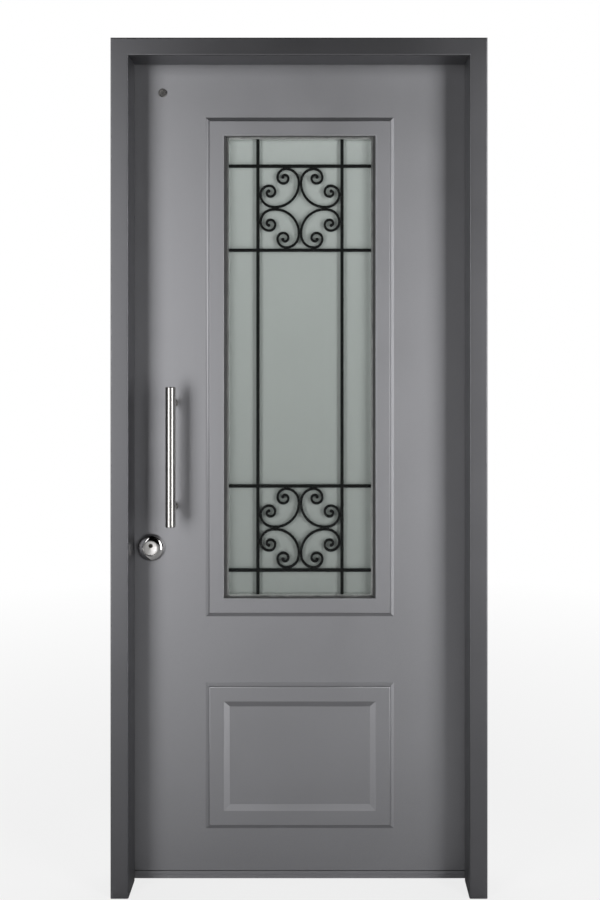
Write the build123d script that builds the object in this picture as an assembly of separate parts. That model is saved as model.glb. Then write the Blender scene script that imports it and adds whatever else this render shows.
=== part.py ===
from build123d import *
import math
import os

os.makedirs("parts", exist_ok=True)

# Millimetres. X runs to the right as seen from outside, Y runs from outside to
# inside and Z is up. The door stands closed, with every bolt drawn back.

# Frame: one pressed steel section, used for both jambs and the head
frame_width = 920.0
frame_height = 2100.0
frame_depth = 140.0
frame_sheet = 2.0
frame_bend = 2.5
face_width = 44.0
reveal_depth = 90.0
stop_step = 18.0
front_lip = 30.0
back_lip = 25.0
mitre_gap = 0.3

# Leaf: two steel skins over channels and mineral wool
leaf_thickness = 46.0
side_gap = 4.0
top_gap = 4.0
leaf_bottom = 22.0
skin_sheet = 1.5
edge_round = 2.0
channel_sheet = 2.0
channel_leg = 38.0
wool_clearance = 2.0

# Window and the raised mouldings round it and round the lower panel
moulding_side_margin = 189.0
window_bottom = 661.0
window_top_margin = 143.0
panel_bottom = 126.0
panel_top = 501.0
slope_width = 11.0
slope_rise = 3.4
riser_width = 3.5
band_height = 7.0
band_end = 50.0
window_lip = 4.0
bevel_width = 15.0
field_height = 0.5

# Glass unit, with the grille in the space between its two panes
pane_thickness = 6.0
pane_space = 16.0
pane_cover = 6.0
seal_thickness = 3.0
seal_show = 6.0
seal_end_inset = 5.0
spacer_show = 4.0
liner_sheet = 2.0
liner_gap = 2.0
bead_frame_cover = 22.0
bead_frame_proud = 3.0
bead_frame_screw_radius = 2.0

# Grille of flat bars and round scrolls
bar_width = 8.0
bar_thickness = 6.0
bar_seat = 1.5
lap_clearance = 0.05
upright_spacing = 214.0
crossbar_pair = 214.0
square_end_margin = 226.0
grille_drop = 3.5
scroll_width = 6.0
scroll_arc = 60.0
curl_top_x = 35.0
curl_radii = (22.0, 15.0, 12.5, 9.0, 5.0)
curl_end_radius = 4.2

# Bottom sweep
sweep_gap = 1.5
sweep_recess = 1.5
sweep_floor_gap = 2.0
sweep_wall = 2.0
blade_floor_gap = 1.0
blade_thickness = 5.0

# Pull bar on the outside
pull_edge_distance = 112.0
pull_height = 1073.0
pull_length = 342.0
pull_radius = 12.5
pull_wall = 1.5
pull_standoff = 60.0
pull_spacing = 260.0
post_radius = 8.5
pull_bolt_radius = 4.0
pull_bolt_head = 9.0
pull_bolt_head_height = 4.0

# Lock
backset = 55.0
lock_height = 838.0
key_offset = 6.0
dome_radius = 34.5
dome_height = 14.0
disc_radius = 18.0
disc_dish = 1.5
plug_radius = 5.5
running = 0.05
case_thickness = 22.0
case_sheet = 2.0
case_depth = 82.0
case_below = 125.0
case_above = 160.0
faceplate_thickness = 3.0
faceplate_width = 24.0
faceplate_overhang = 16.0
bolt_radius = 8.0
bolt_pitch = 28.0
bolt_drop = 44.0
bolt_throw = 20.0
bolt_tip_setback = 0.5
carriage_thickness = 6.0
rod_radius = 6.0
rod_setback = 22.0
rod_tip_setback = 3.0
rod_foot_gap = 6.0
latch_rise = 122.0
latch_tall = 18.0
latch_wide = 12.0
latch_length = 60.0
keep_clearance = 2.0
keep_depth = 21.0
keep_sheet = 1.5
keep_width = 32.0
keep_margin = 14.0

# Inside furniture
plate_width = 44.0
plate_height = 240.0
plate_thickness = 8.0
plate_round = 6.0
lever_rise = 85.0
lever_projection = 62.0
lever_radius = 9.0
lever_length = 125.0
spindle_size = 8.0
thumb_projection = 30.0

# Hinges on the inside
hinge_bottom = 250.0
hinge_top_margin = 220.0
hinge_tall = 100.0
hinge_plate = 3.0
hinge_leaf_plate = 44.0
hinge_middle = 38.0
knuckle_radius = 9.0
knuckle_gap = 0.5
pin_radius = 5.0
hinge_screw_radius = 2.5

# Fixed dog bolts on the hinge edge, and the fixings of the frame
dog_radius = 6.0
dog_reach = 12.0
dog_bottom = 450.0
dog_above_hinge = 250.0
dog_top_margin = 420.0
dog_clearance = 3.0
fixing_radius = 5.25
fixing_end = 150.0
fixing_inner = 600.0
fixing_setback = 14.0

# Blank cap near the top corner
cap_radius = 11.0
cap_height = 3.0
cap_inset = 84.0

# Places worked out from the sizes above
overall_depth = frame_depth + lever_projection
front_y = -overall_depth / 2
back_y = front_y + frame_depth
stop_y = front_y + reveal_depth
outer_x = frame_width / 2
opening_x = outer_x - face_width
opening_z = frame_height - face_width
rebate_x = opening_x + stop_step
rebate_z = opening_z + stop_step
leaf_x = rebate_x - side_gap
leaf_top = rebate_z - top_gap
leaf_y = back_y - leaf_thickness
leaf_mid_y = back_y - leaf_thickness / 2
skin_in_y = leaf_y + skin_sheet
skin_out_y = back_y - skin_sheet
moulding_width = 2 * (leaf_x - moulding_side_margin)
window_top = leaf_top - window_top_margin
window_mid = (window_bottom + window_top) / 2
window_height = window_top - window_bottom
square_offset = window_height / 2 - square_end_margin
grille_mid = window_mid - grille_drop
panel_mid = (panel_bottom + panel_top) / 2
panel_height = panel_top - panel_bottom
band_x = moulding_width / 2 - band_end
band_z = window_height / 2 - band_end
pane_x = band_x + pane_cover
pane_z = band_z + pane_cover
sight_x = band_x - seal_show
sight_z = band_z - seal_show
spacer_x = sight_x - spacer_show
spacer_z = sight_z + seal_end_inset - spacer_show
outer_pane_y = leaf_y + window_lip + seal_thickness
grille_y = outer_pane_y + pane_thickness + pane_space / 2
inner_pane_y = outer_pane_y + pane_thickness + pane_space
glass_back_y = inner_pane_y + pane_thickness
liner_x = pane_x + liner_gap
liner_z = pane_z + liner_gap
key_x = -(leaf_x - backset)
key_z = lock_height + key_offset
lever_z = lock_height + lever_rise
case_front_x = -leaf_x + faceplate_thickness
case_bottom = lock_height - case_below
case_top = lock_height + case_above
rod_x = -leaf_x + rod_setback
pivot_x = rebate_x + 2.0
pivot_y = back_y + hinge_plate + 0.5 + knuckle_radius
fixing_y = back_y - fixing_setback
fixing_heights = (fixing_end, fixing_inner, frame_height - fixing_inner, frame_height - fixing_end)
hinge_top = leaf_top - hinge_top_margin
hinge_heights = (hinge_bottom, (hinge_bottom + hinge_top) / 2, hinge_top)
dog_heights = (dog_bottom, hinge_heights[1] + dog_above_hinge, leaf_top - dog_top_margin)
pull_x = -(leaf_x - pull_edge_distance)
cap_x = -(leaf_x - cap_inset)
cap_z = leaf_top - cap_inset


def block(x0, x1, y0, y1, z0, z1):
    """A box between two corners."""
    size = Box(abs(x1 - x0), abs(y1 - y0), abs(z1 - z0))
    return Pos((x0 + x1) / 2, (y0 + y1) / 2, (z0 + z1) / 2) * size


def rod_along_x(x0, x1, y, z, radius):
    """A round bar along X."""
    return Pos((x0 + x1) / 2, y, z) * Rot(0, 90, 0) * Cylinder(radius, abs(x1 - x0))


def rod_along_y(y0, y1, x, z, radius):
    """A round bar along Y."""
    return Pos(x, (y0 + y1) / 2, z) * Rot(90, 0, 0) * Cylinder(radius, abs(y1 - y0))


def rod_along_z(z0, z1, x, y, radius):
    """A round bar along Z."""
    return Pos(x, y, (z0 + z1) / 2) * Cylinder(radius, abs(z1 - z0))


def slab(outline, y0, y1):
    """An outline of (x, z) points, as thick as the step from y0 to y1."""
    plane = Plane(origin=(0, y1, 0), x_dir=(1, 0, 0), z_dir=(0, -1, 0))
    face = plane * Polygon(*outline, align=None)
    return extrude(face, amount=y1 - y0, dir=(0, -1, 0))


def rectangle_ring(half_x, half_z, hole_x, hole_z, mid_z, y0, y1):
    """A flat rectangular ring standing in the leaf."""
    ring = block(-half_x, half_x, y0, y1, mid_z - half_z, mid_z + half_z)
    hole = block(-hole_x, hole_x, y0, y1, mid_z - hole_z, mid_z + hole_z)
    return ring - hole


def revolve_about_y(profile, x, z):
    """Turn (radius, y) points into a round piece about an axis along Y."""
    plane = Plane(origin=(x, 0, z), x_dir=(1, 0, 0), z_dir=(0, 0, 1))
    return revolve(plane * Polygon(*profile, align=None), Axis((x, 0, z), (0, 1, 0)))


def save(name, *solids):
    """Write one node, made of one solid or of several separate ones."""
    shape = solids[0] if len(solids) == 1 else Compound(children=list(solids))
    shape.label = name
    export_step(shape, f"parts/{name}.step")


# The frame section, as (distance out from the opening, y) along the sheet's middle
def frame_section():
    half = frame_sheet / 2
    out = face_width - half
    path = FilletPolyline(
        (out, front_y + front_lip),
        (out, front_y + half),
        (half, front_y + half),
        (half, stop_y - half),
        (stop_step + half, stop_y - half),
        (stop_step + half, back_y - half),
        (out, back_y - half),
        (out, back_y - back_lip),
        radius=frame_bend,
    )
    return trace(path, line_width=frame_sheet)


def mitre_wedge(gap):
    """Everything above the 45 degree mitre line at the hinge-side corner."""
    far = face_width + 40.0
    corner_x, corner_z = outer_x + gap, frame_height
    outline = (
        (corner_x + far, corner_z + far),
        (corner_x - far, corner_z + far),
        (corner_x - far, corner_z - far),
    )
    return slab(outline, front_y - 5, back_y + 5)


def main_bolt_heights():
    first = lock_height - bolt_drop
    return [first - i * bolt_pitch for i in range(3)]


def jamb():
    """The hinge-side jamb; the strike jamb is its mirror image."""
    plane = Plane(origin=(opening_x, 0, 0), x_dir=(1, 0, 0), z_dir=(0, 0, 1))
    piece = extrude(plane * frame_section(), amount=frame_height)
    piece -= mitre_wedge(-mitre_gap / 2)
    for z in fixing_heights:
        piece -= rod_along_x(rebate_x - 1, rebate_x + 4, fixing_y, z, fixing_radius)
    return piece


def hinge_jamb():
    piece = jamb()
    for z in dog_heights:
        hole = dog_radius + dog_clearance
        piece -= rod_along_x(rebate_x - 1, rebate_x + 4, leaf_mid_y, z, hole)
    for x, y, z in hinge_screw_places(frame_plate_screw_x):
        piece -= rod_along_y(back_y - 3, back_y + 1, x, z, hinge_screw_radius)
    return piece


def strike_jamb():
    piece = mirror(jamb(), Plane.YZ)
    for z in main_bolt_heights():
        hole = bolt_radius + keep_clearance
        piece -= rod_along_x(-rebate_x - 4, -rebate_x + 1, leaf_mid_y, z, hole)
    piece -= latch_block(-rebate_x - 4, -rebate_x + 1, keep_clearance)
    return piece


def frame_head():
    plane = Plane(
        origin=(outer_x, 0, opening_z), x_dir=(0, 0, 1), z_dir=(-1, 0, 0)
    )
    piece = extrude(plane * frame_section(), amount=frame_width)
    far = 200.0
    outline = (
        (-outer_x - far + mitre_gap / 2, frame_height + far),
        (outer_x + far - mitre_gap / 2, frame_height + far),
        (outer_x - far - mitre_gap / 2, frame_height - far),
        (-outer_x + far + mitre_gap / 2, frame_height - far),
    )
    piece &= slab(outline, front_y - 5, back_y + 5)
    hole = rod_radius + keep_clearance
    piece -= rod_along_z(rebate_z - 1, rebate_z + 4, rod_x, leaf_mid_y, hole)
    return piece


def corner_cleat():
    """A flat angle plate behind the front face, across the hinge-side mitre."""
    inset = 6.0
    leg = 90.0
    x1, z1 = outer_x - inset, frame_height - inset
    x0, z0 = opening_x + inset, opening_z + inset
    outline = (
        (x1, z1 - leg),
        (x1, z1),
        (x1 - leg, z1),
        (x1 - leg, z0),
        (x0, z0),
        (x0, z1 - leg),
    )
    y0 = front_y + frame_sheet
    return slab(outline, y0, y0 + 3.0)


def frame_seal():
    """Rubber strip on the stop: up one jamb, across the head and down the other."""
    clearance = 0.3
    width = 10.0
    edge = 3.0
    lip = side_gap - clearance
    path = FilletPolyline((0.0, 0.0), (0.0, lip), (width, lip), (width, 0.0), radius=1.2)
    face = make_face(path.edges() + [Line((width, 0.0), (0.0, 0.0))])
    outline_in = opening_x + edge
    top_in = opening_z + edge
    side = Plane(origin=(outline_in, stop_y, 0), x_dir=(1, 0, 0), z_dir=(0, 0, 1))
    right = extrude(side * face, amount=top_in + width)
    left = mirror(right, Plane.YZ)
    above = Plane(
        origin=(outline_in + width, stop_y, top_in), x_dir=(0, 0, 1), z_dir=(-1, 0, 0)
    )
    top = extrude(above * face, amount=2 * (outline_in + width))
    return right + left + top


def keep_box():
    """Open-fronted steel box behind the strike jamb, round the bolt and latch holes."""
    x1 = -rebate_x - frame_sheet
    x0 = x1 - keep_depth
    y0, y1 = leaf_mid_y - keep_width / 2, leaf_mid_y + keep_width / 2
    z0 = main_bolt_heights()[-1] - bolt_radius - keep_margin
    z1 = latch_z + latch_tall / 2 + keep_margin
    t = keep_sheet
    outer = block(x0, x1, y0, y1, z0, z1)
    return outer - block(x0 + t, x1, y0 + t, y1 - t, z0 + t, z1 - t)


# Moulding sections, as (distance in from the moulding's outer edge, height proud of the
# leaf face) along the sheet's middle
def moulding_path(tail, radii):
    """A gentle slope up from the leaf face, a steep riser and then the flat band."""
    half = skin_sheet / 2
    points = [
        (-skin_sheet, -half),
        (0.0, -half),
        (slope_width, slope_rise - half),
        (slope_width + riser_width, band_height - half),
    ]
    bends = [3.0, 1.0, 1.3]
    return FilletPolyline(*points, *tail, radius=bends + radii)


def window_section():
    half = skin_sheet / 2
    tail = [(band_end - half, band_height - half), (band_end - half, -window_lip)]
    return trace(moulding_path(tail, [1.3]), line_width=skin_sheet)


def panel_section():
    half = skin_sheet / 2
    start = band_end - half
    low = field_height - half
    tail = [
        (start, band_height - half),
        (start + bevel_width, low),
        (start + bevel_width + 4.0, low),
    ]
    return trace(moulding_path(tail, [1.3, 3.0]), line_width=skin_sheet)


def moulding_ring(section, height, mid_z):
    """The section carried round a rectangle, with its four corners mitred."""
    half_x, half_z = moulding_width / 2, height / 2
    lap = skin_sheet
    inward = band_end + 2 * bevel_width
    near, far = leaf_y - inward, leaf_y + inward
    sides = []
    for turn, across, along in ((0, half_x, half_z), (90, half_z, half_x)):
        plane = Plane(
            origin=(-across, leaf_y, -along - lap), x_dir=(1, 0, 0), z_dir=(0, 0, 1)
        )
        face = plane * mirror(section, Plane.XZ)
        bar = extrude(face, amount=2 * (along + lap), dir=(0, 0, 1))
        reach = across + lap
        outline = (
            (-reach, -along - lap),
            (-reach, along + lap),
            (-reach + inward, along + lap - inward),
            (-reach + inward, -along - lap + inward),
        )
        bar &= slab(outline, near, far)
        sides += [Rot(0, turn, 0) * bar, Rot(0, turn + 180, 0) * bar]
    ring = sides[0] + sides[1] + sides[2] + sides[3]
    return Pos(0, 0, mid_z) * ring


def skin_opening(height, mid_z):
    half_x, half_z = moulding_width / 2, height / 2
    y1 = skin_in_y + 1
    return block(-half_x, half_x, leaf_y - 1, y1, mid_z - half_z, mid_z + half_z)


def outer_skin():
    """The pressed outer tray: face, four returns and both mouldings in one sheet."""
    tray = block(-leaf_x, leaf_x, leaf_y, skin_out_y, leaf_bottom, leaf_top)
    tray = fillet(tray.faces().sort_by(Axis.Y)[0].edges(), edge_round)
    t = skin_sheet
    tray -= block(-leaf_x + t, leaf_x - t, skin_in_y, back_y, leaf_bottom + t, leaf_top - t)
    tray -= skin_opening(window_height, window_mid)
    tray -= skin_opening(panel_height, panel_mid)
    tray += moulding_ring(window_section(), window_height, window_mid)
    tray += moulding_ring(panel_section(), panel_height, panel_mid)
    inner = band_end + bevel_width
    field_x = moulding_width / 2 - inner
    field_z = panel_height / 2 - inner
    y0 = leaf_y - field_height
    tray += block(
        -field_x, field_x, y0, y0 + t, panel_mid - field_z, panel_mid + field_z
    )
    tray -= faceplate_block(0.2)
    tray -= cylinder_outline(leaf_y - 20, skin_in_y + 1, 0.5)
    for z in pull_heights():
        hole = pull_bolt_radius + 0.5
        tray -= rod_along_y(leaf_y - 1, skin_in_y + 1, pull_x, z, hole)
    rod_hole = rod_radius + running
    tray -= rod_along_z(leaf_top - 5, leaf_top + 1, rod_x, leaf_mid_y, rod_hole)
    for z in dog_heights:
        tray -= rod_along_x(leaf_x - 5, leaf_x + 1, leaf_mid_y, z, dog_radius)
    return tray


def inner_skin():
    """The flat inside sheet, with its window opening and its holes."""
    sheet = block(-leaf_x, leaf_x, skin_out_y, back_y, leaf_bottom, leaf_top)
    hole_x, hole_z = liner_x + liner_sheet, liner_z + liner_sheet
    y0, y1 = skin_out_y - 1, back_y + 1
    sheet -= block(-hole_x, hole_x, y0, y1, window_mid - hole_z, window_mid + hole_z)
    sheet -= cylinder_outline(y0, y1, 0.5)
    sheet -= rod_along_y(y0, y1, key_x, lever_z, spindle_size)
    for z in pull_heights():
        sheet -= rod_along_y(y0, y1, pull_x, z, pull_bolt_radius + 0.5)
    for x, y, z in hinge_screw_places(leaf_plate_screw_x):
        sheet -= rod_along_y(y0, y1, x, z, hinge_screw_radius)
    for x, z in glazing_screw_places():
        sheet -= rod_along_y(y0, y1, x, z, bead_frame_screw_radius)
    return sheet


def stile():
    """Steel channel inside the leaf's hinge edge, open towards the window."""
    half = channel_sheet / 2
    x1 = leaf_x - skin_sheet - half
    y0, y1 = skin_in_y + half, skin_out_y - half
    path = FilletPolyline(
        (x1 - channel_leg, y0), (x1, y0), (x1, y1), (x1 - channel_leg, y1), radius=2.5
    )
    length = leaf_top - leaf_bottom - 2 * skin_sheet
    plane = Plane.XY.offset(leaf_bottom + skin_sheet)
    return extrude(plane * trace(path, line_width=channel_sheet), amount=length)


def hinge_stile():
    piece = stile()
    for z in dog_heights:
        piece -= rod_along_x(leaf_x - 10, leaf_x, leaf_mid_y, z, dog_radius)
    for x, y, z in hinge_screw_places(leaf_plate_screw_x):
        y0, y1 = skin_out_y - 4, skin_out_y + 1
        piece -= rod_along_y(y0, y1, x, z, hinge_screw_radius)
    return piece


def lock_stile():
    piece = mirror(stile(), Plane.YZ)
    low, high = case_bottom - 0.5, case_top + 0.5
    half = faceplate_width / 2 + 0.5
    x0 = -leaf_x
    y0, y1 = leaf_mid_y - half, leaf_mid_y + half
    piece -= block(x0, x0 + 8, y0, y1, low - faceplate_overhang, high + faceplate_overhang)
    piece -= cylinder_outline(leaf_y, skin_in_y + 5, 0.5)
    piece -= cylinder_outline(skin_out_y - 5, back_y, 0.5)
    piece -= rod_along_y(skin_out_y - 5, back_y, key_x, lever_z, spindle_size)
    return piece


def rail(z_web, z_tips):
    """Channel across the leaf between the two stiles."""
    half = channel_sheet / 2
    y0, y1 = skin_in_y + half, skin_out_y - half
    reach = leaf_x - skin_sheet - channel_sheet - channel_leg + 0.9
    plane = Plane(origin=(reach, 0, 0), x_dir=(0, 0, 1), z_dir=(-1, 0, 0))
    path = FilletPolyline((z_tips, y0), (z_web, y0), (z_web, y1), (z_tips, y1), radius=2.5)
    return extrude(plane * trace(path, line_width=channel_sheet), amount=2 * reach)


def top_rail():
    web = leaf_top - skin_sheet - channel_sheet / 2
    return rail(web, web - channel_leg)


def bottom_rail():
    web = leaf_bottom + skin_sheet + channel_sheet / 2
    return rail(web, web + channel_leg)


def window_liner():
    """Steel box frame that lines the window opening and carries the glass unit."""
    half_x, half_z = liner_x + liner_sheet, liner_z + liner_sheet
    return rectangle_ring(
        half_x, half_z, liner_x, liner_z, window_mid, skin_in_y + 1.5, back_y
    )


def wool_slabs():
    """Mineral wool in the four fields round the window."""
    gap = 0.5
    y0, y1 = skin_in_y + gap, skin_out_y - gap
    edge_x = leaf_x - skin_sheet - channel_sheet - channel_leg - 1.5
    win_x = moulding_width / 2 + gap
    win_low = window_bottom - gap
    win_high = window_top + gap
    low = leaf_bottom + skin_sheet + channel_sheet + channel_leg + 1.5
    high = leaf_top - skin_sheet - channel_sheet - channel_leg - 1.5
    panel_high = panel_top + gap
    above = block(-edge_x, edge_x, y0, y1, win_high, high)
    below = block(-edge_x, edge_x, y0, y1, low, win_low)
    back = y0 + 1.0
    field_x = moulding_width / 2 + gap
    below -= block(-field_x, field_x, y0, back, panel_bottom - gap, panel_high)
    hinge_side = block(win_x, edge_x, y0, y1, win_low + gap, win_high - gap)
    lock_side = block(-edge_x, -win_x, y0, y1, win_low + gap, win_high - gap)
    c = wool_clearance
    pocket = case_thickness / 2 + c
    room = block(
        case_front_x, case_front_x + case_depth + c,
        leaf_mid_y - pocket, leaf_mid_y + pocket, case_bottom - c, case_top + c,
    )
    room += rod_along_y(leaf_mid_y, back_y, key_x, lever_z, spindle_size)
    room += cylinder_outline(leaf_y, back_y, c)
    lock_side -= room
    below -= room
    for z in pull_heights():
        lock_side -= rod_along_y(leaf_y, back_y, pull_x, z, pull_bolt_radius + c)
    return above, below, hinge_side, lock_side


def dog_bolts():
    """Fixed round studs on the hinge edge, each with a collar inside the stile."""
    studs = []
    for z in dog_heights:
        inside = leaf_x - skin_sheet - channel_sheet
        stud = rod_along_x(inside, leaf_x + dog_reach, leaf_mid_y, z, dog_radius)
        stud = chamfer(stud.faces().sort_by(Axis.X)[-1].edges(), 1.5)
        stud += rod_along_x(inside - 5, inside, leaf_mid_y, z, dog_radius + 3)
        studs.append(stud)
    return studs


def pane(y):
    return block(
        -pane_x, pane_x, y, y + pane_thickness, window_mid - pane_z, window_mid + pane_z
    )


def glass_spacer(bars):
    """Hollow bar frame between the panes; the grille's ends sit in its pockets."""
    y0 = outer_pane_y + pane_thickness
    ring = rectangle_ring(pane_x, pane_z, spacer_x, spacer_z, window_mid, y0, inner_pane_y)
    for bar in bars:
        box = bar.bounding_box()
        c = lap_clearance
        ring -= block(
            box.min.X - c, box.max.X + c, box.min.Y - c, box.max.Y + c,
            box.min.Z - c, box.max.Z + c,
        )
    return ring


def outer_glazing_seal():
    """Black rubber between the window lip and the outer pane."""
    lip_y = leaf_y + window_lip
    flange = rectangle_ring(pane_x, pane_z, sight_x, sight_z + seal_end_inset, window_mid, lip_y, outer_pane_y)
    fin = rectangle_ring(
        band_x, band_z, sight_x + 2, sight_z + seal_end_inset, window_mid, leaf_y + 1, lip_y
    )
    return flange + fin


def inner_glazing_seal():
    y1 = glass_back_y + seal_thickness
    return rectangle_ring(pane_x, pane_z, sight_x, sight_z, window_mid, glass_back_y, y1)


def glazing_frame():
    """Screwed frame on the inside: a flange on the skin and a leg onto the seal."""
    leg_y = glass_back_y + seal_thickness
    half_x, half_z = liner_x + bead_frame_cover, liner_z + bead_frame_cover
    flange = rectangle_ring(
        half_x, half_z, sight_x, sight_z, window_mid, back_y, back_y + bead_frame_proud
    )
    leg = rectangle_ring(
        liner_x - 0.5, liner_z - 0.5, sight_x, sight_z, window_mid, leg_y, back_y
    )
    frame = flange + leg
    for x, z in glazing_screw_places():
        frame -= screw_shape(x, z, back_y + bead_frame_proud, bead_frame_screw_radius, 12.0)
    return frame


def glazing_screw_places():
    x = liner_x + liner_sheet + (bead_frame_cover - liner_sheet) / 2
    z = liner_z + liner_sheet + (bead_frame_cover - liner_sheet) / 2
    places = [(sx * x, window_mid + i * z) for sx in (-1, 1) for i in (-0.9, -0.3, 0.3, 0.9)]
    places += [(sx * x * 0.5, window_mid + sz * z) for sx in (-1, 1) for sz in (-1, 1)]
    return places


def screw_shape(x, z, head_y, radius, length):
    """Countersunk screw whose head lies flush with the plane y = head_y."""
    profile = (
        (0.0, head_y - length),
        (radius, head_y - length),
        (radius, head_y - radius),
        (2 * radius, head_y),
        (0.0, head_y),
    )
    return revolve_about_y(profile, x, z)


# Grille
def flat_bar(half_length, upright):
    """Flat bar with half-round ends, lying along Z if upright and along X if not."""
    r = bar_width / 2
    straight = half_length - r
    y0, y1 = grille_y - bar_thickness / 2, grille_y + bar_thickness / 2
    bar = block(-r, r, y0, y1, -straight, straight)
    bar += rod_along_y(y0, y1, 0, straight, r)
    bar += rod_along_y(y0, y1, 0, -straight, r)
    return bar if upright else Rot(0, 90, 0) * bar


def crossbar_offsets():
    """Heights of the four crossbars from the grille's middle, from the top down."""
    half = crossbar_pair / 2
    return [square_offset + half, square_offset - half, half - square_offset, -square_offset - half]


def uprights():
    """Both uprights, notched at the front half where a crossbar passes."""
    bars = []
    reach = bar_width / 2 + lap_clearance
    for side in (-1, 1):
        x = side * upright_spacing / 2
        bar = Pos(x, 0, window_mid) * flat_bar(spacer_z + bar_seat, True)
        for dz in crossbar_offsets():
            z = grille_mid + dz
            bar -= block(x - 9, x + 9, grille_y - 9, grille_y, z - reach, z + reach)
        bars.append(bar)
    return bars


def crossbars():
    """The four crossbars, notched at the back half where an upright passes."""
    bars = []
    reach = bar_width / 2 + lap_clearance
    for dz in crossbar_offsets():
        z = grille_mid + dz
        bar = Pos(0, 0, z) * flat_bar(spacer_x + bar_seat, False)
        for side in (-1, 1):
            x = side * upright_spacing / 2
            bar -= block(x - reach, x + reach, grille_y, grille_y + 9, z - 9, z + 9)
        bars.append(bar)
    return bars


def scroll_arcs():
    """Middle line of the upper-left scroll, from the middle of its large arc to one end.

    Points are (x, z) from the middle of the square. The large arc bows towards that
    middle and touches its neighbour on the centre line. It runs on into a tangent arc
    that touches the crossbar, and then into ever smaller quarter turns.
    """
    reach = scroll_arc + scroll_width / 2
    top = crossbar_pair / 2 - bar_width / 2 - scroll_width / 2
    across = reach - curl_top_x
    drop = scroll_arc - (top - reach)
    shift = (across**2 + drop**2) / (2 * drop)
    first_turn = math.degrees(math.atan2(shift - drop, across))
    stretches = [(scroll_arc - shift, 90.0 - first_turn)]
    stretches += [(radius, 90.0) for radius in curl_radii]
    centre = Vector(-reach, reach)
    radius, angle = scroll_arc, -45.0
    arcs = [CenterArc(centre, radius, angle, 45.0 + first_turn)]
    angle = first_turn
    for next_radius, turn in stretches:
        along = Vector(math.cos(math.radians(angle)), math.sin(math.radians(angle)))
        centre = centre + along * (radius - next_radius)
        radius = next_radius
        arcs.append(CenterArc(centre, radius, angle, turn))
        angle += turn
    return arcs


def scroll():
    """Flat bar bent on edge into a C, with curled and slightly swollen ends."""
    arcs = scroll_arcs()
    half = trace(Wire(arcs), line_width=scroll_width)
    half += Pos(*(arcs[-1] @ 1)) * Circle(curl_end_radius)
    plane = Plane(
        origin=(0, grille_y + bar_thickness / 2, 0), x_dir=(1, 0, 0), z_dir=(0, -1, 0)
    )
    upper = extrude(plane * half, amount=bar_thickness, dir=(0, -1, 0))
    diagonal = Plane(origin=(0, 0, 0), x_dir=(0, 1, 0), z_dir=(1, 0, 1))
    return upper + mirror(upper, diagonal)


def scroll_panels():
    """Four scrolls in each of the two squares, from one scroll mirrored."""
    one = scroll()
    left_lower = mirror(one, Plane.XY)
    four = [one, left_lower, mirror(one, Plane.YZ), mirror(left_lower, Plane.YZ)]
    upper = [Pos(0, 0, grille_mid + square_offset) * s for s in four]
    lower = [Pos(0, 0, grille_mid - square_offset) * s for s in four]
    return upper, lower


# Bottom sweep
def bottom_sweep():
    """Folded strip under the leaf: a top leg on the leaf and a face down to the floor."""
    x1 = leaf_x - 2.0
    y0 = leaf_y + sweep_recess
    top = leaf_bottom
    face_top = top - sweep_gap
    low = sweep_floor_gap
    t = sweep_wall
    face = block(-x1, x1, y0, y0 + t, low, face_top)
    ridge_z = low + (face_top - low) * 0.45
    face += block(-x1, x1, y0 - 0.8, y0, ridge_z, ridge_z + 1.6)
    web = block(-x1, x1, y0 + t, back_y - 8, face_top - t, face_top)
    foot = block(-x1, x1, leaf_y + 8, back_y - 12, face_top, top)
    slot = leaf_y + 14.0
    back = block(-x1, x1, slot + blade_thickness, slot + blade_thickness + t, low, face_top - t)
    return face + web + foot + back + block(-x1, x1, slot - t, slot, low, face_top - t)


def sweep_blade():
    """Rubber blade held in the sweep's slot."""
    x1 = leaf_x - 2.0
    slot = leaf_y + 14.0
    top = leaf_bottom - sweep_gap - sweep_wall
    blade = block(-x1, x1, slot, slot + blade_thickness, blade_floor_gap, top)
    low = blade.edges().filter_by(Axis.X).sort_by(Axis.Z)[:2]
    return fillet(low, blade_thickness * 0.4)


# Outside furniture
def pull_heights():
    half = pull_spacing / 2
    return [pull_height - half, pull_height + half]


def pull_bar():
    """Round tube with its posts' seats ground flat."""
    y = leaf_y - pull_standoff
    z0, z1 = pull_height - pull_length / 2, pull_height + pull_length / 2
    tube = rod_along_z(z0, z1, pull_x, y, pull_radius)
    tube -= rod_along_z(z0, z1, pull_x, y, pull_radius - pull_wall)
    return tube


def pull_end_caps():
    y = leaf_y - pull_standoff
    caps = []
    for side in (-1, 1):
        end = pull_height + side * pull_length / 2
        cap = rod_along_z(end, end + side * 2.0, pull_x, y, pull_radius)
        rim = cap.faces().sort_by(Axis.Z)[-1 if side > 0 else 0].edges()
        cap = chamfer(rim, 1.2)
        cap += rod_along_z(end - side * 8.0, end, pull_x, y, pull_radius - pull_wall)
        caps.append(cap)
    return caps


def pull_posts():
    """Posts from the leaf to the tube, hollowed at the top to fit it."""
    posts = []
    y_bar = leaf_y - pull_standoff
    for z in pull_heights():
        post = rod_along_y(y_bar, leaf_y, pull_x, z, post_radius)
        post -= rod_along_z(z - 20, z + 20, pull_x, y_bar, pull_radius)
        foot = rod_along_y(leaf_y - 2.5, leaf_y, pull_x, z, post_radius + 2.0)
        post += foot
        post -= rod_along_y(leaf_y - 25, leaf_y, pull_x, z, pull_bolt_radius)
        posts.append(post)
    return posts


def pull_bolts():
    """Bolts through the leaf from the inside, with domed heads."""
    bolts = []
    for z in pull_heights():
        r, head = pull_bolt_radius, pull_bolt_head
        profile = (
            (0.0, leaf_y - 24),
            (r, leaf_y - 24),
            (r, back_y),
            (head, back_y),
            (head, back_y + pull_bolt_head_height * 0.4),
            (head * 0.7, back_y + pull_bolt_head_height),
            (0.0, back_y + pull_bolt_head_height),
        )
        bolts.append(revolve_about_y(profile, pull_x, z))
    return bolts


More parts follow.
